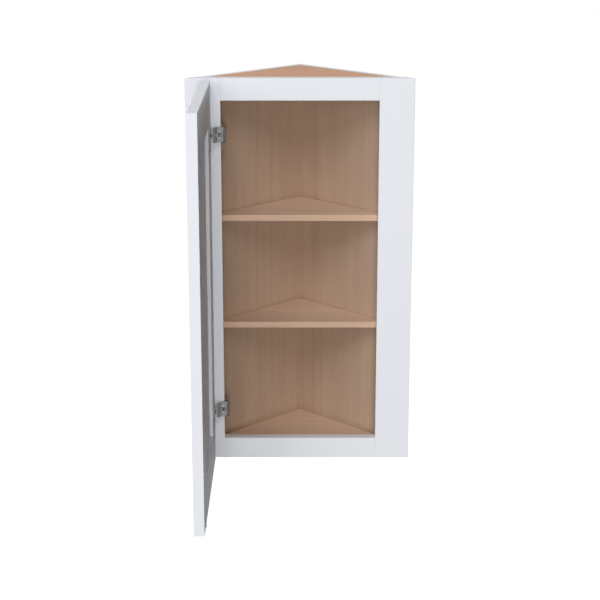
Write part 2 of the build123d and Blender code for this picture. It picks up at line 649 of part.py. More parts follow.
# ---- make every piece -------------------------------------------------------------------------------
def main():
    os.makedirs("parts", exist_ok=True)
    save(side_panel(-1, 0), "left_side_panel")
    save(side_panel(1, SIDE_THICKNESS), "right_side_panel")
    save(flat_board(SIDE_THICKNESS, BACK_OF_FRAME, CASE_TOP - TOP_THICKNESS, TOP_THICKNESS),
         "top_panel")
    save(flat_board(SIDE_THICKNESS - DADO_DEPTH + DADO_CLEARANCE, BACK_OF_FRAME, BOTTOM_RECESS,
                    BOTTOM_THICKNESS), "bottom_panel")
    for name, top in SHELF_TOPS.items():
        save(flat_board(SIDE_THICKNESS + SHELF_CLEARANCE, BACK_OF_FRAME + SHELF_SETBACK,
                        top - SHELF_THICKNESS, SHELF_THICKNESS), f"{name}_shelf")
        save(shelf_pins(name), f"{name}_shelf_pins")

    save(frame_stile(-1, True), "frame_hinge_stile")
    save(frame_stile(1, False), "frame_free_stile")
    save(frame_rail("top"), "frame_top_rail")
    save(frame_rail("bottom"), "frame_bottom_rail")

    save(door_stile(0, HINGES.values()), "door_hinge_stile")
    save(door_stile(DOOR_WIDTH - DOOR_MEMBER, ()), "door_free_stile")
    save(door_rail(0, DOOR_MEMBER - GROOVE_DEPTH, 0), "door_bottom_rail")
    save(door_rail(DOOR_HEIGHT - DOOR_MEMBER, DOOR_HEIGHT - DOOR_MEMBER, DOOR_HEIGHT),
         "door_top_rail")
    save(door_panel(), "door_panel")
    save(door_bumpers(), "door_bumpers")

    for name, centre in HINGES.items():
        save(hinge_cup(centre), f"{name}_hinge_cup")
        save(cup_pins(centre), f"{name}_cup_pins")
        save(wood_screws(door_plane(foot=centre), wing_places(), CUP_SCREW_LENGTH,
                         FLANGE_THICKNESS), f"{name}_cup_screws")
        save(hinge_arm(centre), f"{name}_hinge_arm")
        save(hinge_link(centre), f"{name}_hinge_link")
        save(hinge_bracket(centre), f"{name}_hinge_bracket")
        save(bracket_pins(centre), f"{name}_bracket_pins")
        save(wood_screws(bracket_screw_plane(-HALF_OPENING), bracket_screw_places(centre),
                         BRACKET_SCREW_LENGTH, BRACKET_THICKNESS), f"{name}_bracket_screws")

    print(f"arm pivot {ARM_PIVOT.X:.3f} {ARM_PIVOT.Y:.3f}, turns {ARM_TURN:.3f} as the door closes")
    print(f"link pivot {LINK_PIVOT.X:.3f} {LINK_PIVOT.Y:.3f}, turns {LINK_TURN:.3f}")
    pin = open_place(*OUTER_CUP_PIN)
    print(f"cup pivot {pin.X:.3f} {pin.Y:.3f}, door turns {90 - ARM_TURN:.3f} on the arm")


main()
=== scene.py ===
"""Looks of the corner wall cabinet: painted frame and door, maple-look boards, nickel hinges."""
import math

import bmesh
import bpy
from mathutils import Matrix, Vector


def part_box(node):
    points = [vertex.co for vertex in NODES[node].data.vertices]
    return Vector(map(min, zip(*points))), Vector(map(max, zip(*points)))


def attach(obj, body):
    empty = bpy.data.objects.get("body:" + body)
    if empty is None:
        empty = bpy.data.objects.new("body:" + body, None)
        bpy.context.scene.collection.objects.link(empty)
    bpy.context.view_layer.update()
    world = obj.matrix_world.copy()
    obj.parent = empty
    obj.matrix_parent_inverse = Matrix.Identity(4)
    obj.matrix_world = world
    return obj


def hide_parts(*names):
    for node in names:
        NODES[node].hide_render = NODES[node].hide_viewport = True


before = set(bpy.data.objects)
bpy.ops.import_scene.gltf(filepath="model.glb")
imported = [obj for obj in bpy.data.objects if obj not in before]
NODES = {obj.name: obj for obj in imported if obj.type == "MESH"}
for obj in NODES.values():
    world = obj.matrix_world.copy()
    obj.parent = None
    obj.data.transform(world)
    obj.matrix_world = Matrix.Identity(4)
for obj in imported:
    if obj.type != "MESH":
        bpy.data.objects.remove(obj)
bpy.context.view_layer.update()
MM = 0.001

# ---- the cabinet's own places, in metres ----------------------------------------------------
FRONT_Y = -216.73 * MM                                    # front of the face frame
HALF_OPENING = 150.53 * MM
OPENING_TOP = 719.8 * MM
OPENING_FOOT = 41.6 * MM
SIDE_THICKNESS = 12.0 * MM
ARM_PIVOT = Vector((-143.428, -216.286, 0.0)) * MM        # the bracket's pin for the arm
INNER_CUP_PIN = Vector((-175.03, -239.53, 0.0)) * MM      # the cup's pin for the link
TONGUE_TIP = Vector((-168.9, -217.4, 0.0)) * MM           # just beyond the bracket's tongue

# ---- finishes, linear colour ----------------------------------------------------------------
WHITE_PAINT = (0.86, 0.88, 0.925)
WORN_PAINT = (0.80, 0.79, 0.77)
SEAM_GREY = (0.4, 0.4, 0.4)
MAPLE_LIGHT = (0.517, 0.374, 0.274)
MAPLE_DARK = (0.418, 0.284, 0.199)
WORN_SIDE = (0.78, 0.70, 0.62)
# shelves and bottom board: a lighter copy of the maple, painted light for the light their upper
# faces catch
LIT_SHELF_LIGHT = (0.785, 0.588, 0.442)
LIT_SHELF_DARK = (0.685, 0.483, 0.350)
TOP_LIGHT = (0.71, 0.396, 0.240)
TOP_DARK = (0.60, 0.315, 0.182)
EDGE_BAND_AND_SHADE = (0.875, 0.812, 0.784)    # the front edges, against the faces: partly an edge band, partly painted shade
CEILING = (0.80, 0.98, 1.10)         # the top board's underside, against its upper face
NO_TINT = (1, 1, 1)
NICKEL = (0.268, 0.264, 0.266)
# a darker copy of the nickel for the cup and the bracket: painted shade
SHADED_NICKEL = (0.20, 0.197, 0.20)
# a lighter copy of the nickel for the link, the tongue and the bracket's finger: painted light on
# parts in shade
PAINTED_LIGHT_NICKEL = (0.30, 0.296, 0.292)
# the plate's edges lighter: partly wear, partly painted highlight
WORN_PLATE_AND_HIGHLIGHT = (0.75, 0.74, 0.72)
# the rivets lighter than the plate: the domes catch light, and their tone adds a painted
# highlight
RIVET_HIGHLIGHT_STEEL = (0.62, 0.61, 0.60)
# painted shade round the hinges' pivots
PIVOT_SHADE_COLOUR = (0.062, 0.06, 0.058)
# the clear bumpers' grey: painted shade of the door seen through them
SHADED_BUMPER_GREY = (0.40, 0.41, 0.41)

# the darkest parts of a finish, against its own colour
PAINT_SHADE = 0.9
PORE_SHADE = 0.6
PLATE_SHADE = 0.72
# for the painted highlight on the bracket's finger
FINGER_HIGHLIGHT_SHADE = 0.75
BUMPER_SHADE = 0.9

# strengths of marks, from none at 0 to full at 1
PAINT_WEAR = 0.25
BOARD_WEAR = 0.3
SIDE_WEAR = 0.2
# the plate's edge wear is also a painted highlight
PLATE_WEAR_AND_HIGHLIGHT = 0.6
SEAM_STRENGTH = 0.15
PORE_STRENGTH = 0.35
# how dark the painted shade round the pivots gets
PIVOT_SHADE_COVER = 0.85
BUMP_STRENGTH = 0.5

# depth of the relief and radius of the eased edges, in millimetres
PAINT_EDGES = (0.06, 0.9)
BOARD_EDGES = (0.08, 0.5)
SIDE_EDGES = (0.07, 0.6)
PLATE_EDGES = (0.04, 0.4)
PLASTIC_EDGES = (0.05, 0.8)

# level of the mirror reflection, share of metal, and ranges of roughness
MATT_SHINE = 0.12
SIDE_SHINE = 0.15
HARD_SHINE = 0.5
PLATE_METALLIC = 0.85
PAINT_ROUGHNESS = (0.46, 0.58)
BOARD_ROUGHNESS = (0.50, 0.64)
PLATE_ROUGHNESS = (0.40, 0.52)
PLASTIC_ROUGHNESS = (0.30, 0.45)
# roughness under the painted shade round the pivots
PIVOT_SHADE_ROUGHNESS = (0.6, 0.6, 0.6)

# ---- textures: scale, detail and roughness of each noise; three scales stretch it ------------
PAINT_PEEL = (900.0, 2.0, 0.5)
PAINT_DRIFT = (6.0, 3.0, 0.5)
PAINT_GLOSS = (60.0, 4.0, 0.55)
PAINT_FIBRE = ((420.0, 420.0, 14.0), 3.0, 0.6)
GRAIN_WARP = ((3.0, 3.0, 1.0), 2.0, 0.55)
GRAIN_STREAK = ((95.0, 95.0, 1.6), 5.0, 0.62)
GRAIN_BAND = ((22.0, 22.0, 0.7), 2.0, 0.5)
GRAIN_FLECK = ((520.0, 520.0, 22.0), 3.0, 0.6)
GRAIN_PORES = ((1500.0, 1500.0, 60.0), 1.0, 0.55)
PLATE_CLOUD = (140.0, 4.0, 0.6)
PLATE_DRAWN = ((300.0, 300.0, 5200.0), 2.0, 0.5)
# uneven border of the painted shade round the pivots
PIVOT_SHADE_BORDER = (700.0, 3.0, 0.55)
PLASTIC_HAZE = (400.0, 3.0, 0.55)
USUAL_NOISE = (0.3, 0.7)             # nearly all of a noise lies between these

PAINT_GRAIN = 0.3                    # wood fibre that shows through the paint
PAINT_TONES = (0.985, 1.0)
PEEL_SHARE = 0.5
WARP_SHIFT = 0.03
STREAK_SHARE, BAND_SHARE, FLECK_SHARE = 0.55, 0.3, 0.15
FLECK_RELIEF, PORE_RELIEF = 0.4, -0.6
PORE_RANGE = (0.62, 0.74)
GRAIN_CONTRAST = 3.2
SIDE_CONTRAST = 0.75                 # the side panels' grain, against the other boards'
PLATE_TONES = (0.78, 1.08)
CLOUD_RELIEF, DRAWN_RELIEF = 0.6, 0.4
DRAWN_ROUGHNESS = 0.08
BEVEL_SAMPLES = 6
EDGE_START, EDGE_FULL = 0.995, 0.86  # cosine between the rounded and the flat normal
TURNED_AWAY = -0.5                   # a normal with less than this along an axis looks back

SEAM_CORE, SEAM_BORDER = 0.12 * MM, 0.35 * MM             # from the middle of a joint
BOARD_MARGIN = 0.05 * MM
FINGER_MARGIN = 1.2 * MM             # how far the bracket's finger reaches past the opening
ARM_SHADE_REACH, LINK_SHADE_REACH = 2.8 * MM, 8.5 * MM              # the painted shade's reach from its pivot
BRACKET_SHADE_REACH, TONGUE_SHADE_REACH = 4.2 * MM, 5.2 * MM
# the painted shade round the pivots fades out over this, its border wobbling this much
PIVOT_SHADE_FADE = 0.8 * MM
PIVOT_SHADE_WOBBLE = 0.6 * MM


# ---- node helpers ---------------------------------------------------------------------------
def feed(tree, socket, value):
    """Links another node's output to the socket, or sets the socket to a constant."""
    if isinstance(value, bpy.types.NodeSocket):
        tree.links.new(value, socket)
    else:
        socket.default_value = value


class Graph:
    """Small shorthand for one node tree."""

    def __init__(self, tree):
        self.tree = tree

    def add(self, kind, values=None, **settings):
        """A node of a kind, with its settings and the values of its inputs."""
        node = self.tree.nodes.new(kind)
        for name, value in settings.items():
            setattr(node, name, value)
        for socket, value in (values or {}).items():
            feed(self.tree, node.inputs[socket], value)
        return node

    def link(self, source, target):
        """Links an output to an input."""
        self.tree.links.new(source, target)

    def coordinates(self, kind="Object"):
        """The place on the piece, or its normal there."""
        return self.add("ShaderNodeTexCoord").outputs[kind]

    def parts_of(self, vector):
        """The three numbers of a vector."""
        return self.add("ShaderNodeSeparateXYZ", {0: vector}).outputs

    def math(self, operation, a, b=0.0, clamp=False):
        """One operation on two numbers."""
        return self.add("ShaderNodeMath", {0: a, 1: b}, operation=operation,
                        use_clamp=clamp).outputs[0]

    def vector_math(self, operation, a, b, output="Vector"):
        """One operation on two vectors."""
        return self.add("ShaderNodeVectorMath", {0: a, 1: b}, operation=operation).outputs[output]

    def weigh(self, *parts):
        """The sum of (value, weight) pairs."""
        *others, (value, weight) = parts
        total = self.math("MULTIPLY", value, weight)
        for value, weight in reversed(others):
            total = self.math("ADD", self.math("MULTIPLY", value, weight), total)
        return total

    def remap(self, value, low, high, to_low=0.0, to_high=1.0):
        """The range low to high brought to to_low to to_high, and held within it."""
        node = self.add("ShaderNodeMapRange", {0: value, 1: low, 2: high, 3: to_low, 4: to_high})
        return node.outputs[0]

    def spread(self, noise, low, high):
        """The usual range of a noise brought to low to high."""
        return self.remap(noise, *USUAL_NOISE, low, high)

    def stretch(self, vector, scale, rotation=(0, 0, 0)):
        """The vector scaled along the axes, then turned."""
        return self.add("ShaderNodeMapping", {0: vector, 2: rotation, 3: scale}).outputs[0]

    def noise(self, vector, texture):
        """Noise from one of the textures above."""
        scale, detail, rough = texture
        if isinstance(scale, tuple):
            vector, scale = self.stretch(vector, scale), 1.0
        return self.add("ShaderNodeTexNoise", {"Vector": vector, "Scale": scale,
                                               "Detail": detail, "Roughness": rough}).outputs[0]

    def mix(self, factor, a, b, blend="MIX"):
        """Colour a turned into b by factor."""
        return self.add("ShaderNodeMix", {0: factor, 6: a, 7: b}, data_type="RGBA",
                        blend_type=blend).outputs[2]


def new_group(name, inputs, outputs):
    """A shader node group: its graph, the sockets it is given, those it fills, and its tree."""
    tree = bpy.data.node_groups.new(name, "ShaderNodeTree")
    for label, kind, default in inputs:
        socket = tree.interface.new_socket(label, in_out="INPUT", socket_type=kind)
        if default is not None:
            socket.default_value = default
    for label, kind in outputs:
        tree.interface.new_socket(label, in_out="OUTPUT", socket_type=kind)
    entry = tree.nodes.new("NodeGroupInput")
    leave = tree.nodes.new("NodeGroupOutput")
    return Graph(tree), entry.outputs, leave.inputs, tree


FLOAT, VECTOR = "NodeSocketFloat", "NodeSocketVector"


def build_soft_edge():
    """Eased edges: a rounded normal, and a mask that is 1 on the edges."""
    g, given, out, tree = new_group("soft_edge", [("Radius", FLOAT, 1.0 * MM)],
                                    [("Normal", VECTOR), ("Edge", FLOAT)])
    rounded = g.add("ShaderNodeBevel", {0: given["Radius"]}, samples=BEVEL_SAMPLES).outputs[0]
    flat = g.add("ShaderNodeNewGeometry").outputs["Normal"]
    turn = g.vector_math("DOT_PRODUCT", rounded, flat, "Value")
    g.link(rounded, out["Normal"])
    g.link(g.remap(turn, EDGE_START, EDGE_FULL), out["Edge"])
    return tree


def build_paint_skin():
    """Sprayed satin paint: fine orange peel, a slow change of tone and of roughness."""
    g, given, out, tree = new_group(
        "paint_skin", [("Vector", VECTOR, None), ("Grain", FLOAT, PAINT_GRAIN)],
        [("Tone", FLOAT), ("Roughness", FLOAT), ("Height", FLOAT)])
    where = given["Vector"]
    g.link(g.spread(g.noise(where, PAINT_DRIFT), *PAINT_TONES), out["Tone"])
    g.link(g.spread(g.noise(where, PAINT_GLOSS), *PAINT_ROUGHNESS), out["Roughness"])
    height = g.weigh((g.noise(where, PAINT_PEEL), PEEL_SHARE),
                     (g.noise(where, PAINT_FIBRE), given["Grain"]))
    g.link(height, out["Height"])
    return tree


def build_board_grain():
    """Maple grain along Z of the vector: long streaks, growth bands, short flecks and pores."""
    g, given, out, tree = new_group(
        "board_grain", [("Vector", VECTOR, None), ("Contrast", FLOAT, 1.0)],
        [("Figure", FLOAT), ("Pores", FLOAT), ("Roughness", FLOAT), ("Height", FLOAT)])
    where = given["Vector"]
    warp = g.math("MULTIPLY", g.noise(where, GRAIN_WARP), WARP_SHIFT)
    shift = g.add("ShaderNodeCombineXYZ", {0: warp}).outputs[0]
    moved = g.vector_math("ADD", where, shift)
    fleck = g.noise(moved, GRAIN_FLECK)
    pores = g.remap(g.noise(moved, GRAIN_PORES), *PORE_RANGE)
    figure = g.weigh((g.noise(moved, GRAIN_STREAK), STREAK_SHARE),
                     (g.noise(moved, GRAIN_BAND), BAND_SHARE), (fleck, FLECK_SHARE))
    contrast = g.math("MULTIPLY", given["Contrast"], GRAIN_CONTRAST)
    centred = g.math("MULTIPLY", g.math("SUBTRACT", figure, 0.5), contrast)
    g.link(g.math("ADD", centred, 0.5, clamp=True), out["Figure"])
    g.link(pores, out["Pores"])
    g.link(g.spread(fleck, *BOARD_ROUGHNESS), out["Roughness"])
    g.link(g.weigh((fleck, FLECK_RELIEF), (pores, PORE_RELIEF)), out["Height"])
    return tree


def build_plated_metal():
    """Nickel plate: pressing marks, fine drawn scratches and cloudy wear."""
    g, given, out, tree = new_group(
        "plated_metal", [("Vector", VECTOR, None)],
        [("Tone", FLOAT), ("Roughness", FLOAT), ("Height", FLOAT)])
    cloud = g.noise(given["Vector"], PLATE_CLOUD)
    drawn = g.noise(given["Vector"], PLATE_DRAWN)
    g.link(g.spread(cloud, *PLATE_TONES), out["Tone"])
    g.link(g.math("ADD", g.spread(cloud, *PLATE_ROUGHNESS),
                  g.math("MULTIPLY", drawn, DRAWN_ROUGHNESS)), out["Roughness"])
    g.link(g.weigh((cloud, CLOUD_RELIEF), (drawn, DRAWN_RELIEF)), out["Height"])
    return tree


SOFT_EDGE = build_soft_edge()
PAINT_SKIN = build_paint_skin()
BOARD_GRAIN = build_board_grain()
PLATED_METAL = build_plated_metal()


# ---- materials ------------------------------------------------------------------------------
def new_material(name, **constants):
    """A material, its graph and its shader, with constants on the shader's own sockets."""
    material = bpy.data.materials.new(name)
    material.use_nodes = True
    shader = material.node_tree.nodes["Principled BSDF"]
    for socket, value in constants.items():
        shader.inputs[socket.replace("_", " ")].default_value = value
    return material, Graph(material.node_tree), shader


def use_group(g, tree, **values):
    """The outputs of a node group that is given these values."""
    node = g.tree.nodes.new("ShaderNodeGroup")
    node.node_tree = tree
    for socket, value in values.items():
        feed(g.tree, node.inputs[socket], value)
    return node.outputs


def dress_surface(g, shader, height, depth, radius):
    """Bump on top of eased edges, sizes in millimetres; gives back the edge mask."""
    edge = use_group(g, SOFT_EDGE, Radius=radius * MM)
    bump = g.add("ShaderNodeBump", {"Strength": BUMP_STRENGTH, "Distance": depth * MM,
                                    "Height": height, "Normal": edge["Normal"]})
    g.link(bump.outputs[0], shader.inputs["Normal"])
    return edge["Edge"]


def rgba(colour, factor=1.0):
    """A colour for a socket, times factor."""
    return (*(c * factor for c in colour), 1.0)


def toned(g, tone, colour, shade):
    """A colour that goes from its shade at tone 0 to itself at tone 1."""
    return g.mix(tone, rgba(colour, shade), rgba(colour))


def marked(g, colour, mask, strength, mark):
    """A colour with a mark of another colour where the mask is."""
    return g.mix(g.math("MULTIPLY", mask, strength), colour, rgba(mark))


def seam_mask(g, where):
    """1 on the hairline joints between the rails and the stiles of the face frame."""
    x, _, z = g.parts_of(where)
    across = g.math("ABSOLUTE", g.math("SUBTRACT", g.math("ABSOLUTE", x), HALF_OPENING))
    line = g.remap(across, SEAM_CORE, SEAM_BORDER, 1.0, 0.0)
    above = g.math("GREATER_THAN", z, OPENING_TOP)
    below = g.math("LESS_THAN", z, OPENING_FOOT)
    return g.math("MULTIPLY", line, g.math("ADD", above, below))


def white_paint(g, where):
    """The white paint's colour, and its other values."""
    skin = use_group(g, PAINT_SKIN, Vector=where, Grain=PAINT_GRAIN)
    return toned(g, skin["Tone"], WHITE_PAINT, PAINT_SHADE), skin


def painted(name, seams=False):
    """White sprayed paint, a little worn on the edges, with the face frame's joints if asked."""
    material, g, shader = new_material(name, Specular_IOR_Level=MATT_SHINE)
    where = g.coordinates()
    colour, skin = white_paint(g, where)
    worn = dress_surface(g, shader, skin["Height"], *PAINT_EDGES)
    colour = marked(g, colour, worn, PAINT_WEAR, WORN_PAINT)
    if seams:
        colour = marked(g, colour, seam_mask(g, where), SEAM_STRENGTH, SEAM_GREY)
    g.link(colour, shader.inputs["Base Color"])
    g.link(skin["Roughness"], shader.inputs["Roughness"])
    return material


def maple(g, shader, where, axis, seed, light, dark, contrast=1.0):
    """Maple's colour and its other values; axis turns the grain, seed moves it."""
    vector = g.vector_math("ADD", g.stretch(where, (1, 1, 1), axis), (seed, 2 * seed, seed / 3))
    wood = use_group(g, BOARD_GRAIN, Vector=vector, Contrast=contrast)
    colour = g.mix(wood["Figure"], rgba(dark), rgba(light))
    pores = g.math("MULTIPLY", wood["Pores"], PORE_STRENGTH)
    g.link(wood["Roughness"], shader.inputs["Roughness"])
    return g.mix(pores, colour, rgba(dark, PORE_SHADE)), wood


GRAIN_UP = (0, 0, 0)
GRAIN_ALONG_X = (0, -math.pi / 2, 0)


def level_board(name, seed, light, dark, underside=NO_TINT):
    """Maple board, its front edge darker, partly as a band and partly as painted shade; underside
    tints its lower face.
    """
    material, g, shader = new_material(name, Specular_IOR_Level=MATT_SHINE)
    colour, wood = maple(g, shader, g.coordinates(), GRAIN_ALONG_X, seed, light, dark)
    _, y, z = g.parts_of(g.coordinates("Normal"))
    for part, tint in ((y, EDGE_BAND_AND_SHADE), (z, underside)):
        there = g.math("LESS_THAN", part, TURNED_AWAY)
        colour = g.mix(there, colour, g.mix(1.0, colour, rgba(tint), "MULTIPLY"))
    worn = dress_surface(g, shader, wood["Height"], *BOARD_EDGES)
    g.link(marked(g, colour, worn, BOARD_WEAR, light), shader.inputs["Base Color"])
    return material


def side_board(name, seed):
    """Maple on the inner face, white paint on the outer face and the edges."""
    material, g, shader = new_material(name, Specular_IOR_Level=SIDE_SHINE)
    where = g.coordinates()
    inside, wood = maple(g, shader, where, GRAIN_UP, seed, MAPLE_LIGHT, MAPLE_DARK,
                         SIDE_CONTRAST)
    outside, skin = white_paint(g, where)
    x, y, _ = g.parts_of(where)
    depth = g.math("MULTIPLY", g.math("ADD", g.math("ABSOLUTE", x), y), -1 / math.sqrt(2))
    inner = g.math("GREATER_THAN", depth, SIDE_THICKNESS - BOARD_MARGIN)
    height = g.mix(inner, skin["Height"], wood["Height"])
    worn = dress_surface(g, shader, height, *SIDE_EDGES)
    colour = marked(g, g.mix(inner, outside, inside), worn, SIDE_WEAR, WORN_SIDE)
    g.link(colour, shader.inputs["Base Color"])
    return material


def pivot_shade_mask(g, where, pivot, reach):
    """Painted shade round an upright pivot, out to its reach, with an uneven border."""
    level = g.vector_math("MULTIPLY", where, (1, 1, 0))
    away = g.vector_math("DISTANCE", level, pivot, "Value")
    wobble = g.math("MULTIPLY", g.noise(where, PIVOT_SHADE_BORDER), PIVOT_SHADE_WOBBLE)
    return g.remap(g.math("ADD", away, wobble), reach, reach + PIVOT_SHADE_FADE, PIVOT_SHADE_COVER, 0.0)


def finger_mask(g, where):
    """1 on the bracket's finger, in front of the frame."""
    x, y, _ = g.parts_of(where)
    return g.math("MULTIPLY", g.math("LESS_THAN", y, FRONT_Y),
                  g.math("LESS_THAN", x, -HALF_OPENING + FINGER_MARGIN))


def plated(name, colour, pivot=None, reach=0.0, finger_highlight=False):
    """Nickel plate, edges lighter from wear and painted highlight; painted shade round a pivot; a
    painted highlight on the finger if asked.
    """
    material, g, shader = new_material(name, Metallic=PLATE_METALLIC,
                                       Specular_IOR_Level=HARD_SHINE)
    where = g.coordinates()
    metal = use_group(g, PLATED_METAL, Vector=where)
    roughness = metal["Roughness"]
    worn = dress_surface(g, shader, metal["Height"], *PLATE_EDGES)
    tone = toned(g, metal["Tone"], colour, PLATE_SHADE)
    # edges lighter: wear and painted highlight
    tone = marked(g, tone, worn, PLATE_WEAR_AND_HIGHLIGHT, WORN_PLATE_AND_HIGHLIGHT)
    if pivot is not None:
        # painted shade round the pivot
        shade_there = pivot_shade_mask(g, where, pivot, reach)
        tone = g.mix(shade_there, tone, rgba(PIVOT_SHADE_COLOUR))
        roughness = g.mix(shade_there, roughness, rgba(PIVOT_SHADE_ROUGHNESS))
    # painted highlight on the bracket's finger, in front of the frame
    if finger_highlight:
        bright = toned(g, metal["Tone"], PAINTED_LIGHT_NICKEL, FINGER_HIGHLIGHT_SHADE)
        tone = g.mix(finger_mask(g, where), tone, bright)
    g.link(roughness, shader.inputs["Roughness"])
    g.link(tone, shader.inputs["Base Color"])
    return material


def soft_plastic(name):
    """Hazy clear plastic, grey with the painted shade of the door behind it, darker at its edges.
    """
    material, g, shader = new_material(name, Specular_IOR_Level=HARD_SHINE)
    haze = g.noise(g.coordinates(), PLASTIC_HAZE)
    worn = dress_surface(g, shader, haze, *PLASTIC_EDGES)
    colour = g.mix(worn, rgba(SHADED_BUMPER_GREY), rgba(SHADED_BUMPER_GREY, BUMPER_SHADE))
    g.link(colour, shader.inputs["Base Color"])
    g.link(g.spread(haze, *PLASTIC_ROUGHNESS), shader.inputs["Roughness"])
    return material


FRAME_PAINT = painted("frame_paint", seams=True)
DOOR_PAINT = painted("door_paint")
# arm, link, bracket and tongue: painted shade round their pivots
HINGE_SHEET = plated("hinge_sheet", NICKEL, ARM_PIVOT, ARM_SHADE_REACH)
# the link and the tongue in the lighter nickel: painted light where they sit in shade
LINK_SHEET = plated("link_sheet", PAINTED_LIGHT_NICKEL, INNER_CUP_PIN, LINK_SHADE_REACH)
HINGE_CASTING = plated("hinge_casting", SHADED_NICKEL)
BRACKET_CASTING = plated("bracket_casting", SHADED_NICKEL, ARM_PIVOT, BRACKET_SHADE_REACH, finger_highlight=True)
TONGUE_SHEET = plated("tongue_sheet", PAINTED_LIGHT_NICKEL, TONGUE_TIP, TONGUE_SHADE_REACH)
HINGE_PIN = plated("hinge_pin", NICKEL)
SCREW_STEEL = plated("screw_steel", NICKEL)
PIN_STEEL = plated("shelf_pin_steel", NICKEL)
RIVET_METAL = plated("rivet_metal", RIVET_HIGHLIGHT_STEEL)
BUMPER = soft_plastic("bumper_plastic")
BOARDS = {                  # each with its own seed, so that no two have the same grain
    "left_side_panel": side_board("side_board_left", 3.1),
    "right_side_panel": side_board("side_board_right", 7.7),
    "top_panel": level_board("top_board", 1.3, TOP_LIGHT, TOP_DARK, CEILING),
    "bottom_panel": level_board("bottom_board", 4.9, LIT_SHELF_LIGHT, LIT_SHELF_DARK),
    "lower_shelf": level_board("lower_shelf_board", 6.2, LIT_SHELF_LIGHT, LIT_SHELF_DARK),
    "upper_shelf": level_board("upper_shelf_board", 8.4, LIT_SHELF_LIGHT, LIT_SHELF_DARK),
}
SMALL_PARTS = (             # endings of the nodes' names; the first that fits counts
    ("shelf_pins", PIN_STEEL), ("screws", SCREW_STEEL), ("hinge_bracket", BRACKET_CASTING),
    ("_pins", HINGE_PIN), ("hinge_cup", HINGE_CASTING), ("hinge_arm", HINGE_SHEET),
    ("hinge_link", LINK_SHEET), ("bumpers", BUMPER))


def finish_of(node):
    """The finish of a CAD node, by its name."""
    if node in BOARDS:
        return BOARDS[node]
    for ending, finish in SMALL_PARTS:
        if node.endswith(ending):
            return finish
    return FRAME_PAINT if node.startswith("frame_") else DOOR_PAINT


for node, piece in NODES.items():
    piece.data.materials.clear()
    piece.data.materials.append(finish_of(node))


# ---- small pieces made here -----------------------------------------------------------------
HINGES = {"lower": 105.6 * MM, "upper": 656.4 * MM}       # heights of the hinges' middles
TURNED_SIDES = 28           # sides of turned pieces


def finished(name, build, finish, body):
    """A mesh piece from a bmesh, dressed, riding on its body."""
    bmesh.ops.recalc_face_normals(build, faces=build.faces)
    mesh = bpy.data.meshes.new(name)
    build.to_mesh(mesh)
    build.free()
    mesh.materials.append(finish)
    piece = bpy.data.objects.new(name, mesh)
    bpy.context.scene.collection.objects.link(piece)
    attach(piece, body)
    return piece


def facing(axis, foot):
    """Places a piece drawn along +Z at foot, so that it points along axis."""
    turn = Vector(axis).to_track_quat("Z", "Y").to_matrix().to_4x4()
    return Matrix.Translation(foot) @ turn


def turned(build, profile, place, sides=TURNED_SIDES):
    """Adds a closed turned solid; profile: (radius, height) in millimetres, foot to tip."""
    angles = [2 * math.pi * step / sides for step in range(sides)]
    rings = []
    for radius, height in profile:
        r, z = radius * MM, height * MM
        spots = [(r * math.cos(a), r * math.sin(a), z) for a in angles] if r else [(0, 0, z)]
        rings.append([build.verts.new(place @ Vector(spot)) for spot in spots])
    for low, high in zip(rings, rings[1:]):
        for step in range(sides):
            ahead = (step + 1) % sides
            if len(low) == 1:
                build.faces.new((low[0], high[ahead], high[step]))
            elif len(high) == 1:
                build.faces.new((low[step], low[ahead], high[0]))
            else:
                build.faces.new((low[step], low[ahead], high[ahead], high[step]))


def cut(piece, plugs):
    """Cuts the closed plugs out of the piece and keeps the result as its mesh."""
    for build in plugs:
        mesh = bpy.data.meshes.new("plug")
        build.to_mesh(mesh)
        build.free()
        plug = bpy.data.objects.new("plug", mesh)
        bpy.context.scene.collection.objects.link(plug)
        modifier = piece.modifiers.new("recess", "BOOLEAN")
        modifier.operation = "DIFFERENCE"
        modifier.solver = "EXACT"
        modifier.object = plug
        bpy.context.view_layer.update()
        seen = piece.evaluated_get(bpy.context.evaluated_depsgraph_get())
        carved = bpy.data.meshes.new_from_object(seen)
        piece.modifiers.clear()
        old, piece.data = piece.data, carved
        carved.name = old.name
        bpy.data.meshes.remove(old)
        bpy.data.objects.remove(plug)
        bpy.data.meshes.remove(mesh)


# radii and heights of the domed head, in millimetres, from its underside
SCREW_HEAD = ((3.20, 0.0), (3.20, 0.35), (3.08, 0.75), (2.75, 1.10), (2.10, 1.38),
              (1.20, 1.54), (0.0, 1.60))
# radii of the thread's crest and root, its pitch and the tip's length, in millimetres
SCREW_CREST, SCREW_ROOT, SCREW_PITCH, SCREW_TIP = 1.70, 1.25, 1.3, 2.6
SCREW_NECK = -0.01
HEAD_HEIGHT = 1.6 * MM
RECESS_REACH, RECESS_WIDTH, RECESS_DEPTH = 1.85 * MM, 0.95 * MM, 1.25 * MM
RECESS_SPIN = 40.0          # radians per metre of height, so that no two recesses line up
PLUG_TOP = HEAD_HEIGHT * 1.3
PLUG_DEPTH = RECESS_DEPTH + HEAD_HEIGHT * 0.3
PLUG_TAPER = 0.62


def screw_profile(length):
    """Pointed threaded shank under a domed head; heights count from under the head."""
    rings = [(0.0, -length), (SCREW_ROOT * 0.5, -length + SCREW_TIP * 0.5)]
    height = -length + SCREW_TIP
    while height < -SCREW_PITCH:
        rings += [(SCREW_ROOT, height), (SCREW_CREST, height + SCREW_PITCH / 2)]
        height += SCREW_PITCH
    return [*rings, (SCREW_ROOT, SCREW_NECK), *SCREW_HEAD]


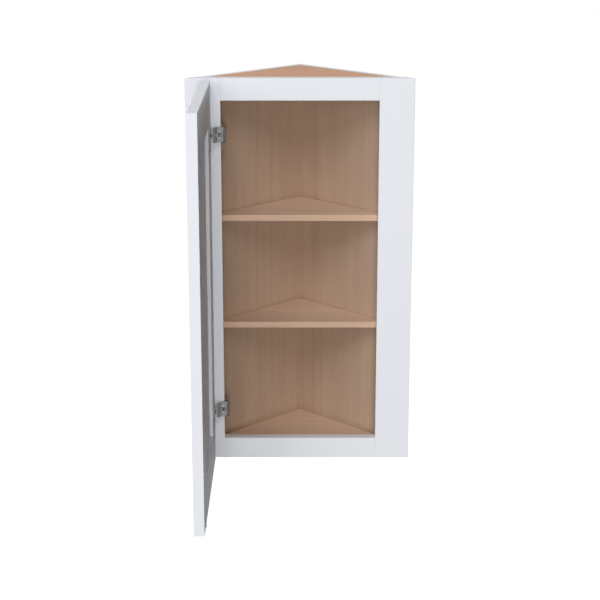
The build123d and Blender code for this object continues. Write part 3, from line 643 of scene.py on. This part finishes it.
def cross_plug(place):
    """A plus-shaped plug, narrower at its foot, that leaves a driver's recess."""
    build = bmesh.new()
    rings = []
    for height, share in ((PLUG_TOP, 1.0), (PLUG_TOP - PLUG_DEPTH, PLUG_TAPER)):
        r, w = RECESS_REACH * share, RECESS_WIDTH * share / 2
        outline = [(r, w), (w, w), (w, r), (-w, r), (-w, w), (-r, w),
                   (-r, -w), (-w, -w), (-w, -r), (w, -r), (w, -w), (r, -w)]
        rings.append([build.verts.new(place @ Vector((x, y, height))) for x, y in outline])
    upper, lower = rings
    build.faces.new(upper)
    build.faces.new(list(reversed(lower)))
    for i in range(len(upper)):
        j = (i + 1) % len(upper)
        build.faces.new((upper[i], lower[i], lower[j], upper[j]))
    bmesh.ops.recalc_face_normals(build, faces=build.faces)
    return build


def screw_pair(node, body):
    """Two domed cross-recess screws in place of a node's plain ones."""
    low, high = (Vector(corner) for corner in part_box(node))
    head = SCREW_HEAD[0][0] * MM
    under = high.x - HEAD_HEIGHT
    profile = screw_profile((under - low.x) / MM)
    build, plugs = bmesh.new(), []
    for z in (low.z + head, high.z - head):
        place = facing((1, 0, 0), Vector((under, (low.y + high.y) / 2, z)))
        turned(build, profile, place)
        plugs.append(cross_plug(place @ Matrix.Rotation(z * RECESS_SPIN, 4, "Z")))
    piece = finished(node.replace("screws", "cross_screws"), build, SCREW_STEEL, body)
    cut(piece, plugs)
    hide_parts(node)


RIVET = ((0.0, -0.4), (1.1, -0.4), (1.55, 0.0), (1.50, 0.25), (1.15, 0.50), (0.60, 0.64),
         (0.0, 0.68))       # radius and height, in millimetres
RIVET_SIDES = 20
RIVET_ALONG = -11.8 * MM    # rivets along the arm, from its pivot
RIVET_APART = 13.2 * MM
ARM_FACE = -2.144 * MM      # outer face of the arm's flat, from its pivot
ARM_TURN = math.radians(33.04)                            # the arms' turn from closed to open


def arm_rivets(side, middle):
    """Two domed rivets on the flat of the hinge arm."""
    along = Vector((math.cos(ARM_TURN), math.sin(ARM_TURN), 0))
    outward = Vector((math.sin(ARM_TURN), -math.cos(ARM_TURN), 0))
    build = bmesh.new()
    for hand in (-1, 1):
        foot = ARM_PIVOT + along * RIVET_ALONG - outward * ARM_FACE
        foot.z = middle + hand * RIVET_APART / 2
        turned(build, RIVET, facing(outward, foot), RIVET_SIDES)
    finished(side + "_arm_rivets", build, RIVET_METAL, "hinge_arms")


TONGUE_END, TONGUE_HALF = -166.9, 3.2       # the end's x and half the width, in millimetres
TONGUE_PLAN = (             # x, and y in front of the frame: over the stile, round its corner
    (TONGUE_END, 0.0), (TONGUE_END, -0.9), (-149.7, -0.9), (-148.7, -0.35), (-147.2, -0.25),
    (-146.7, 0.3), (-146.7, 4.5), (-147.4, 5.4), (-148.8, 5.8), (-150.4, 5.8), (-150.4, 0.0))
TONGUE_ROUNDING = 2.0 * MM
TONGUE_CORNER = 0.5 * MM    # the edges through the sheet are longer than this


def locating_tongue(side, middle):
    """The bracket's tongue on the front of the stile, under the slot of the arm."""
    build = bmesh.new()
    low, high = ([build.verts.new((x * MM, FRONT_Y + y * MM, middle + hand * TONGUE_HALF * MM))
                  for x, y in TONGUE_PLAN] for hand in (-1, 1))
    build.faces.new(high)
    build.faces.new(list(reversed(low)))
    for i in range(len(low)):
        j = (i + 1) % len(low)
        build.faces.new((low[i], low[j], high[j], high[i]))
    ends = {low[0], low[1], high[0], high[1]}
    corners = [edge for edge in build.edges if set(edge.verts) <= ends
               and abs(edge.verts[0].co.y - edge.verts[1].co.y) > TONGUE_CORNER]
    bmesh.ops.bevel(build, geom=corners, offset=TONGUE_ROUNDING, segments=5, affect="EDGES",
                    profile=0.5)
    finished(side + "_bracket_tongue", build, TONGUE_SHEET, "cabinet")


SPRING_WIRE, SPRING_RADIUS, SPRING_TURNS, SPRING_HALF = 0.38 * MM, 1.9 * MM, 5, 2.1 * MM
SPRING_LEG = 6.0 * MM
SPRING_STEPS = 12           # steps in one turn


def cup_spring(side, middle):
    """The torsion spring on the inner pin of the cup, its legs against the cup's floor."""
    curve = bpy.data.curves.new(side + "_cup_spring", "CURVE")
    curve.dimensions = "3D"
    curve.bevel_depth = SPRING_WIRE
    curve.bevel_resolution = 2
    curve.use_fill_caps = True
    points = [INNER_CUP_PIN + Vector((-SPRING_RADIUS, -SPRING_LEG, middle - SPRING_HALF))]
    steps = SPRING_TURNS * SPRING_STEPS + SPRING_STEPS // 2
    for step in range(steps + 1):
        angle = math.pi - 2 * math.pi * step / SPRING_STEPS
        height = middle - SPRING_HALF + 2 * SPRING_HALF * step / steps
        points.append(INNER_CUP_PIN + Vector((SPRING_RADIUS * math.cos(angle),
                                              -SPRING_RADIUS * math.sin(angle), height)))
    points.append(INNER_CUP_PIN + Vector((SPRING_RADIUS, -SPRING_LEG, middle + SPRING_HALF)))
    line = curve.splines.new("POLY")
    line.points.add(len(points) - 1)
    for point, spot in zip(line.points, points):
        point.co = (*spot, 1.0)
    curve.materials.append(HINGE_PIN)
    piece = bpy.data.objects.new(side + "_cup_spring", curve)
    bpy.context.scene.collection.objects.link(piece)
    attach(piece, "door")


BUMPER_PROFILE = ((0.0, 0.0), (5.0, 0.0), (4.95, 1.1), (4.6, 1.9), (3.8, 2.5), (2.6, 2.75),
                  (0.0, 2.8))               # radius and height, in millimetres


def domed_bumpers():
    """Two clear domed bumpers in place of the plain discs."""
    low, high = (Vector(corner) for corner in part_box("door_bumpers"))
    radius = (high.y - low.y) / 2
    build = bmesh.new()
    for z in (low.z + radius, high.z - radius):
        foot = Vector((low.x, (low.y + high.y) / 2, z))
        turned(build, BUMPER_PROFILE, facing((1, 0, 0), foot))
    piece = finished("domed_bumpers", build, BUMPER, "door")
    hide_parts("door_bumpers")


for side, middle in HINGES.items():
    screw_pair(side + "_bracket_screws", "cabinet")
    screw_pair(side + "_cup_screws", "door")
    arm_rivets(side, middle)
    locating_tongue(side, middle)
    cup_spring(side, middle)
domed_bumpers()


# ---- studio ---------------------------------------------------------------------------------
LAMPS = [                   # name, place, size, power in watts
    ("front_low_box", (0.08, -10.1, 0.9), 3.0, 418.0),
    ("front_high_box", (-0.90, -8.0, 8.0), 5.0, 482.0),
    ("left_box", (-4.8, -8.8, 2.5), 3.6, 156.0),
    ("overhead_box", (-4.5, -0.15, 5.8), 3.6, 168.0),
    ("back_left_box", (-2.5, 6.0, 1.2), 2.2, 150.0),
    ("back_right_box", (2.5, 6.0, 1.2), 2.2, 150.0),
]
LAMP_AIM = Vector((0.0, -0.25, 0.40))
AMBIENT = 0.012
WHITE = (1, 1, 1, 1)
HANG_HEIGHT = 1.37          # foot of the cabinet above the floor, as hung in a kitchen
HALF_FLOOR = 9.0
NEAR_FLOOR, FAR_FLOOR = 1.2, 2.4    # the floor shows its shadows inside, plain white outside
FLOOR_GREY = (0.12, 0.12, 0.12)
FLOOR_GLOW = (0.80, 1.0)            # inside and outside
CAMERA_PLACE = (0.0, -3.15336, 1.16489)
CAMERA_DIP = 15.892                 # how far it looks down, in degrees
CAMERA_LENS, CAMERA_SENSOR = 93.748, 36.0                 # in millimetres


def hang_lamps():
    """The studio's soft boxes, all aimed at the cabinet."""
    for name, place, size, power in LAMPS:
        light = bpy.data.lights.new(name, "AREA")
        light.size = size
        light.energy = power
        lamp = bpy.data.objects.new(name, light)
        lamp.location = place
        lamp.rotation_euler = (LAMP_AIM - Vector(place)).to_track_quat("-Z", "Y").to_euler()
        bpy.context.scene.collection.objects.link(lamp)


def seen_directly(g):
    """1 for what the camera sees straight, in metal or through glass."""
    path = g.add("ShaderNodeLightPath").outputs
    first = g.math("MAXIMUM", path["Is Camera Ray"], path["Is Glossy Ray"])
    return g.math("MAXIMUM", first, path["Is Transmission Ray"])


def light_world():
    """White where it is seen, and otherwise a faint light from all round."""
    world = bpy.data.worlds.new("studio")
    bpy.context.scene.world = world
    world.use_nodes = True
    g = Graph(world.node_tree)
    back = world.node_tree.nodes["Background"]
    back.inputs["Color"].default_value = WHITE
    g.link(g.remap(seen_directly(g), 0.0, 1.0, AMBIENT, 1.0), back.inputs["Strength"])


def lay_floor():
    """A grey floor that glows white to the camera and still shows faint shadows."""
    mesh = bpy.data.meshes.new("floor")
    build = bmesh.new()
    bmesh.ops.create_grid(build, x_segments=1, y_segments=1, size=HALF_FLOOR)
    build.to_mesh(mesh)
    build.free()
    floor = bpy.data.objects.new("floor", mesh)
    floor.location = (0, 0, -HANG_HEIGHT)
    bpy.context.scene.collection.objects.link(floor)
    material, g, shader = new_material("pale_floor", Roughness=0.9, Specular_IOR_Level=0.0)
    shader.inputs["Base Color"].default_value = rgba(FLOOR_GREY)
    shader.inputs["Emission Color"].default_value = WHITE
    away = g.add("ShaderNodeVectorMath", {0: g.coordinates()},
                 operation="LENGTH").outputs["Value"]
    glow = g.remap(away, NEAR_FLOOR, FAR_FLOOR, *FLOOR_GLOW)
    g.link(g.math("MULTIPLY", seen_directly(g), glow), shader.inputs["Emission Strength"])
    mesh.materials.append(material)


def place_camera():
    """Straight in front of the slanted face, a little above it, looking down."""
    camera = bpy.data.objects.new("camera", bpy.data.cameras.new("camera"))
    camera.data.sensor_width = CAMERA_SENSOR
    camera.data.lens = CAMERA_LENS
    camera.location = CAMERA_PLACE
    camera.rotation_euler = (math.radians(90 - CAMERA_DIP), 0, 0)
    bpy.context.scene.collection.objects.link(camera)
    bpy.context.scene.camera = camera


hang_lamps()
light_world()
lay_floor()
place_camera()
bpy.context.scene.view_settings.view_transform = "Standard"
